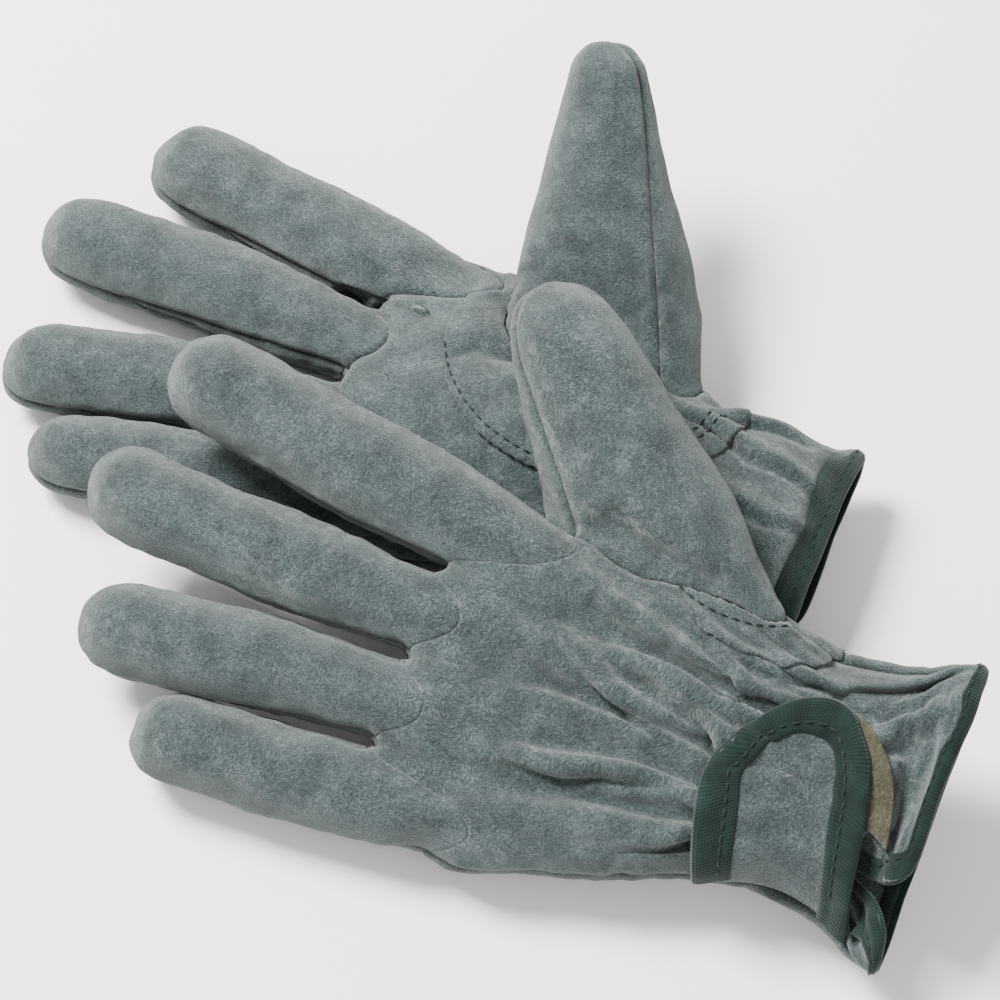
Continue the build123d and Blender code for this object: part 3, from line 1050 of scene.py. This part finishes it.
def border(faces):
    """Edges that only one of the faces has."""
    pairs = np.sort(np.stack([faces, np.roll(faces, -1, axis=1)], axis=-1).reshape(-1, 2), axis=1)
    edges, count = np.unique(pairs, axis=0, return_counts=True)
    return edges[count == 1]


def patch_stitch_path(tree, inset, on_back):
    """A curved row of stitches inside the edge of the thumb reinforcement."""
    points, normals = [], []
    centre, reach, side = PATCH_CENTRE, (PATCH_RADIUS - inset,) * 2, -1
    if on_back:
        centre, side = WRAP_CENTRE, 1
        reach = (WRAP_HALF[0] - inset, WRAP_HALF[1] - inset)
    for turn in np.radians(np.arange(90, 450, 0.7)):
        x = centre[0] + reach[0] * cos(turn)
        y = centre[1] + reach[1] * sin(turn)
        hit = tree.ray_cast(Vector((x, y, RAY_START * side)), Vector((0, 0, -side)))
        if hit[0] is None or hit[1].z * side < 0.3:
            continue
        points.append(np.array(hit[0]) + np.array(hit[1]) * 0.1)
        normals.append(np.array(hit[1]))
    return np.array(points), np.array(normals)


def elastic_faces(skin):
    """The back's faces over the elastic."""
    middle = skin.rest[skin.quads].mean(axis=1)
    low, high = np.array(ELASTIC_BOX) + (0, slit_move(skin.glove), 0)
    return skin.quads[((middle > low) & (middle < high)).all(axis=1)]


def fixed(piece, glove, node=None):
    """Rides a piece on its glove and hides the CAD node that it stands for."""
    if node:
        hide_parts(f"{glove.side}_{node}")
    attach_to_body(piece, glove.body)


def add_bindings(skin, looks):
    """The tape round the cuff and along the slit, with its stitches."""
    glove = skin.glove
    grid, on_cuff, width = rim_tape(skin)
    stations, sides = grid.shape[:2]
    faces = swept_faces(stations, sides, True)
    along = np.repeat(np.arange(stations) * RIM_STEP, sides)
    across = np.concatenate([fold_profile(value)[:, 0] for value in width])
    station = faces[:, 0] // sides
    for name, mask in (("cuff_binding", on_cuff[station]), ("slit_binding", ~on_cuff[station])):
        points, used, fields = compact(grid.reshape(-1, 3), faces[mask], along, across)
        piece = part(glove, name, points, used, looks["tape"], along=fields[0], across=fields[1])
        fixed(piece, glove, name)
    points, faces = stitches(*tape_stitch_path(grid))
    fixed(part(glove, "cuff_stitches", points, faces, looks["thread"]), glove)


def add_patch(skin, looks):
    """The thumb reinforcement and its rows of stitches."""
    glove = skin.glove
    normals = point_normals(skin.shape, skin.quads)
    points, faces, (normal, rest) = compact(skin.shape, patch_faces(skin), normals, skin.rest)
    points = relaxed(points, border(faces), 6)
    depth = np.where(rest[:, 2] > 0, patch_depth(rest, True), patch_depth(rest, False))
    points, faces = shell(points, normal, faces, PATCH_RISE, -0.1)
    # The seam field darkens the patch's edge with painted shade and lightens a band just inside it with
    # painted highlight and wear, as at the seams.
    piece = part(glove, "thumb_patch", points, faces, looks["suede"], np.tile(rest, (2, 1)) + PATCH_GRAIN,
                 seam=np.tile(depth + 0.8, 2))
    fixed(piece, glove, "thumb_patch")
    tree = BVHTree.FromPolygons([Vector(point) for point in points], faces.tolist())
    rows = [stitches(*patch_stitch_path(tree, inset, on_back)) for inset, on_back in PATCH_ROWS]
    points = np.concatenate([row[0] for row in rows])
    starts = np.cumsum([0] + [len(row[0]) for row in rows])
    faces = np.concatenate([row[1] + start for row, start in zip(rows, starts)])
    fixed(part(glove, "patch_stitches", points, faces, looks["thread"]), glove)


def add_elastic(skin, looks):
    """The elastic under the back of the wrist."""
    normals = point_normals(skin.shape, skin.quads)
    points, faces, (normal, rest) = compact(skin.shape, elastic_faces(skin), normals, skin.rest)
    points, faces = shell(points, normal, faces, -LEATHER - 0.05, -LEATHER - 0.85)
    piece = part(skin.glove, "wrist_elastic", points, faces, looks["elastic"], np.tile(rest, (2, 1)))
    fixed(piece, skin.glove, "wrist_elastic")


def add_strap(skin, looks):
    """The strap with its tape, stitches and hook pad."""
    glove = skin.glove
    cover = Cover(skin)
    tab = Tab(cover)
    points, faces = strap_leather(tab)
    piece = part(glove, "strap", points, faces, looks["suede"], points + STRAP_GRAIN,
                 seam=np.full(len(points), 9.0))
    hang_strap(piece, glove, tab, "strap")
    grid, faces, along, across = strap_tape(tab)
    piece = part(glove, "strap_binding", grid.reshape(-1, 3), faces, looks["tape"], along=along,
                 across=across)
    hang_strap(piece, glove, tab, "strap_binding")
    path, normals = tape_stitch_path(grid)
    points, faces = stitches(path[2:-2], normals[2:-2])
    piece = part(glove, "strap_stitches", points, faces, looks["thread"])
    hang_strap(piece, glove, tab)
    hook = Tab(cover, inset=HOOK_INSET, start=LOOP_START)
    u, v, quads = hook.grid(16, 12)
    places, normals = hook.spot(u, v)
    points, faces = shell(places + normals * strap_lift(u, v)[:, None], normals, quads, -0.02, -1.0)
    hang_strap(part(glove, "hook_pad", points, faces, looks["hook"]), glove, tab, "hook_pad")
    add_loop_pad(cover, looks)


def add_loop_pad(cover, looks):
    """The loop pad on the back of the glove, which the strap covers but for a crescent."""
    loops = Tab(cover, inset=LOOP_INSET, shift=LOOP_SHIFT, start=LOOP_START)
    u, v, quads = loops.grid(60, 50)
    places, normals = loops.spot(u, v)
    pile = 0.25 * noise_at(np.stack([u, v, 0 * u], axis=1), 1.1, 5)
    points, faces = shell(places + normals * pile[:, None], normals, quads, 1.0, -0.4)
    piece = part(cover.glove, "loop_pad", points, faces, looks["loop"])
    fixed(piece, cover.glove, "loop_pad")


def hang_strap(piece, glove, tab, node=None):
    """The right strap's pieces ride shut on their glove; the left strap's pieces are only baked into world
    space, with no bend at the sewn edge.
    """
    if glove.side == "right":
        fixed(piece, glove, node)
        return
    if node:
        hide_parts(f"{glove.side}_{node}")
    places, _ = tab.spot(np.array(STRAP_BEND), np.zeros(2))
    start, end = (Vector(place) for place in glove.world(places))
    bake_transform(piece)


# ----------------------------------------------------------------------------------------- materials


class Nodes:
    """A material's node tree, with short ways to add and join nodes."""

    def __init__(self, name):
        self.material = bpy.data.materials.new(name)
        self.material.use_nodes = True
        self.tree = self.material.node_tree
        self.shader = self.tree.nodes["Principled BSDF"]

    def node(self, kind, **settings):
        """A new node with some of its properties set."""
        made = self.tree.nodes.new(kind)
        for key, value in settings.items():
            setattr(made, key, value)
        return made

    def join(self, output, target):
        """Joins an output to an input."""
        self.tree.links.new(output, target)

    def value(self, name):
        """A float attribute of the piece."""
        return self.node("ShaderNodeAttribute", attribute_name=name).outputs["Fac"]

    def grain(self, stretch, degrees):
        """The place at rest in millimetres, turned about z and then scaled per axis."""
        place = self.node("ShaderNodeAttribute", attribute_name="grain").outputs["Vector"]
        if degrees:
            turned = self.node("ShaderNodeVectorRotate", rotation_type="Z_AXIS")
            self.join(place, turned.inputs["Vector"])
            turned.inputs["Angle"].default_value = radians(degrees)
            place = turned.outputs[0]
        scaled = self.node("ShaderNodeVectorMath", operation="MULTIPLY")
        self.join(place, scaled.inputs[0])
        scaled.inputs[1].default_value = stretch
        return scaled.outputs[0]

    def noise(self, size, stretch=(1, 1, 1), detail=3.0, rough=0.55, degrees=0):
        """Noise whose lumps are about the given size in millimetres."""
        made = self.node("ShaderNodeTexNoise")
        self.join(self.grain(stretch, degrees), made.inputs["Vector"])
        made.inputs["Scale"].default_value = 1.0 / size
        made.inputs["Detail"].default_value = detail
        made.inputs["Roughness"].default_value = rough
        return made.outputs["Fac"]

    def blended(self, share, first, second):
        """One value turning into another where a mask passes its middle."""
        sharp = self.math("MULTIPLY", self.math("SUBTRACT", share, 0.45), 10.0)
        made = self.node("ShaderNodeMix", data_type="FLOAT", clamp_factor=True)
        self.join(sharp, made.inputs["Factor"])
        self.join(first, made.inputs["A"])
        self.join(second, made.inputs["B"])
        return made.outputs["Result"]

    def ramp(self, source, stops):
        """A colour ramp from positions and colours."""
        made = self.node("ShaderNodeValToRGB")
        self.join(source, made.inputs["Fac"])
        elements = made.color_ramp.elements
        while len(elements) < len(stops):
            elements.new(0.5)
        for element, (position, colour) in zip(elements, stops):
            element.position = position
            element.color = (*colour, 1.0)
        return made.outputs["Color"]

    def math(self, operation, first, second):
        """Arithmetic on two sources or numbers."""
        made = self.node("ShaderNodeMath", operation=operation)
        for socket, value in zip(made.inputs, (first, second)):
            if isinstance(value, (int, float)):
                socket.default_value = value
            else:
                self.join(value, socket)
        return made.outputs[0]

    def mixed(self, share, first, second, blend="MIX"):
        """Two colours mixed by a share."""
        made = self.node("ShaderNodeMix", data_type="RGBA", blend_type=blend)
        for socket, value in ((made.inputs["Factor"], share), (made.inputs["A"], first),
                              (made.inputs["B"], second)):
            if isinstance(value, (int, float)):
                socket.default_value = value
            elif isinstance(value, tuple):
                socket.default_value = (*value, 1.0)
            else:
                self.join(value, socket)
        return made.outputs["Result"]

    def bump(self, height, strength, distance):
        """Fine relief on the shader's normal."""
        made = self.node("ShaderNodeBump")
        made.inputs["Strength"].default_value = strength
        made.inputs["Distance"].default_value = distance
        self.join(height, made.inputs["Height"])
        self.join(made.outputs["Normal"], self.shader.inputs["Normal"])

    def finish(self, colour, roughness, sheen):
        """Joins the colour and sets the shader's plain values."""
        self.join(colour, self.shader.inputs["Base Color"])
        self.shader.inputs["Roughness"].default_value = roughness
        self.shader.inputs["Sheen Weight"].default_value = sheen
        self.shader.inputs["Sheen Roughness"].default_value = 0.5
        self.shader.inputs["Specular IOR Level"].default_value = 0.15
        return self.material


def linear(red, green, blue):
    """A display colour, 0 to 255, as a linear colour."""
    def channel(value):
        value /= 255
        return value / 12.92 if value <= 0.04045 else ((value + 0.055) / 1.055) ** 2.4
    return channel(red), channel(green), channel(blue)


def suede_look():
    """Grey-green split suede: mottled, with short fibres lying in several directions, with painted shade in
    the seam grooves and a lighter band on the ridge beside them that is partly painted highlight and partly
    worn leather.
    """
    nodes = Nodes("suede")
    mottle = nodes.noise(9, detail=4)
    cloud = nodes.ramp(mottle, [(0.3, linear(40, 50, 50)), (0.52, linear(54, 65, 65)),
                                (0.75, linear(69, 80, 80))])
    lengthwise = nodes.noise(0.3, stretch=(0.25, 1, 1), rough=0.65)
    slanting = nodes.noise(0.3, stretch=(0.25, 1, 1), rough=0.65, degrees=65)
    crossing = nodes.noise(0.3, stretch=(0.3, 1, 1), rough=0.65, degrees=-50)
    fibre = nodes.blended(nodes.noise(4, detail=2), lengthwise, slanting)
    fibre = nodes.blended(nodes.noise(2.6, detail=2), fibre, crossing)
    colour = nodes.mixed(0.9, cloud, nodes.ramp(fibre, [(0.36, (0.3, 0.32, 0.32)), (0.5, (0.9, 0.9, 0.9)),
                                                        (0.62, (2.2, 2.2, 2.15))]), "MULTIPLY")
    seam = nodes.value("seam")
    # Painted shade darkens the seam grooves; the lighter band on the ridge beside each seam is partly
    # painted highlight and partly worn leather.
    painted_seam_shade_and_highlight = nodes.ramp(nodes.math("DIVIDE", seam, 6.0),
                       [(0.0, (0.42, 0.45, 0.45)), (0.18, (0.78, 0.8, 0.8)), (0.42, (1.14, 1.14, 1.13)),
                        (0.8, (1, 1, 1))])
    colour = nodes.mixed(0.85, colour, painted_seam_shade_and_highlight, "MULTIPLY")
    nodes.bump(fibre, 1.0, 0.0009)
    return nodes.finish(colour, 0.95, 0.3)


def tape_look():
    """Dark green woven binding tape with fine cross ribs."""
    nodes = Nodes("binding_tape")
    along, across = nodes.value("along"), nodes.value("across")
    rib = nodes.math("SINE", nodes.math("MULTIPLY", along, 7.5), 0.0)
    weft = nodes.math("SINE", nodes.math("MULTIPLY", across, 9.0), 0.0)
    weave = nodes.math("ADD", nodes.math("MULTIPLY", rib, 0.3), nodes.math("MULTIPLY", weft, 0.2))
    patchy = nodes.noise(6, detail=3)
    tone = nodes.math("ADD", nodes.math("MULTIPLY", weave, 0.35), patchy)
    colour = nodes.ramp(tone, [(0.25, linear(8, 20, 18)), (0.5, linear(13, 29, 26)),
                               (0.85, linear(22, 42, 38))])
    nodes.bump(weave, 0.6, 0.0003)
    return nodes.finish(colour, 0.9, 0.15)


def loop_look():
    """Olive-brown looped pile."""
    nodes = Nodes("loop_tape")
    fuzz = nodes.noise(0.7, detail=4, rough=0.75)
    patchy = nodes.noise(3, detail=2)
    tone = nodes.math("ADD", nodes.math("MULTIPLY", fuzz, 0.8), nodes.math("MULTIPLY", patchy, 0.25))
    colour = nodes.ramp(tone, [(0.35, linear(32, 33, 22)), (0.52, linear(60, 58, 40)),
                               (0.72, linear(92, 88, 66))])
    nodes.bump(fuzz, 0.9, 0.0009)
    return nodes.finish(colour, 1.0, 0.3)


def hook_look():
    """Dark green hook tape with rows of small hooks."""
    nodes = Nodes("hook_tape")
    rows = nodes.noise(0.6, stretch=(2.0, 0.6, 1), detail=1)
    colour = nodes.ramp(rows, [(0.35, linear(36, 52, 49)), (0.6, linear(64, 84, 79))])
    nodes.bump(rows, 0.8, 0.0006)
    return nodes.finish(colour, 0.7, 0.0)


def elastic_look():
    """Grey-green knitted elastic, ribbed along its length."""
    nodes = Nodes("elastic")
    rows = nodes.noise(0.9, stretch=(2.2, 0.3, 0.3), detail=2)
    colour = nodes.ramp(rows, [(0.35, linear(84, 98, 95)), (0.65, linear(126, 139, 136))])
    nodes.bump(rows, 0.7, 0.0005)
    return nodes.finish(colour, 0.9, 0.1)


def thread_look():
    """Dark green sewing thread."""
    nodes = Nodes("thread")
    twist = nodes.noise(0.5, detail=2)
    colour = nodes.ramp(twist, [(0.3, linear(10, 22, 20)), (0.7, linear(22, 36, 33))])
    return nodes.finish(colour, 0.6, 0.1)


def floor_look():
    """White paper floor with a hardly visible grain."""
    nodes = Nodes("paper")
    made = nodes.node("ShaderNodeTexNoise")  # on the floor's own coordinates, as it has no grain
    made.inputs["Scale"].default_value = 40.0
    colour = nodes.ramp(made.outputs["Fac"], [(0.3, (0.93, 0.93, 0.93)), (0.7, (0.95, 0.95, 0.95))])
    return nodes.finish(colour, 0.9, 0.0)


# --------------------------------------------------------------------------------------------- scene


def add_camera():
    """The camera, above and in front of the fingertips' right."""
    data = bpy.data.cameras.new("camera")
    data.lens = 113.8
    data.sensor_width = 36
    camera = new_object("camera", data)
    azimuth, elevation = radians(AZIMUTH), radians(ELEVATION)
    back = Vector((sin(azimuth) * cos(elevation), -cos(azimuth) * cos(elevation), sin(elevation)))
    camera.location = Vector(TARGET) + back * DISTANCE
    camera.rotation_euler = (-back).to_track_quat("-Z", "Y").to_euler()
    bpy.context.scene.camera = camera


def add_light(name, place, size, power):
    """A soft square lamp aimed at the gloves."""
    data = bpy.data.lights.new(name, "AREA")
    data.size = size
    data.energy = power
    lamp = new_object(name, data)
    lamp.location = place
    lamp.rotation_euler = (Vector((0, 0, 0.02)) - lamp.location).to_track_quat("-Z", "Y").to_euler()


def add_surroundings():
    """Floor, lamps and a pale sky."""
    mesh = bpy.data.meshes.new("floor")
    side = 4.0
    mesh.from_pydata([(-side, -side, 0), (side, -side, 0), (side, side, 0), (-side, side, 0)], [],
                     [(0, 1, 2, 3)])
    floor = new_object("floor", mesh)
    floor.data.materials.append(floor_look())
    add_light("key", (-0.75, 0.15, 1.1), 0.5, 66)
    add_light("fill", (0.9, -0.9, 1.2), 1.2, 6)
    world = bpy.data.worlds.new("sky")
    world.use_nodes = True
    world.node_tree.nodes["Background"].inputs["Color"].default_value = (1, 1, 1, 1)
    world.node_tree.nodes["Background"].inputs["Strength"].default_value = 0.95
    bpy.context.scene.world = world


def build():
    """Both gloves and their surroundings."""
    looks = {"suede": suede_look(), "tape": tape_look(), "loop": loop_look(), "hook": hook_look(),
             "elastic": elastic_look(), "thread": thread_look()}
    for glove in GLOVES:
        skin = make_skin(glove)
        skin_panels(skin, looks["suede"])
        add_bindings(skin, looks)
        add_patch(skin, looks)
        add_elastic(skin, looks)
        add_strap(skin, looks)
    add_camera()
    add_surroundings()


build()
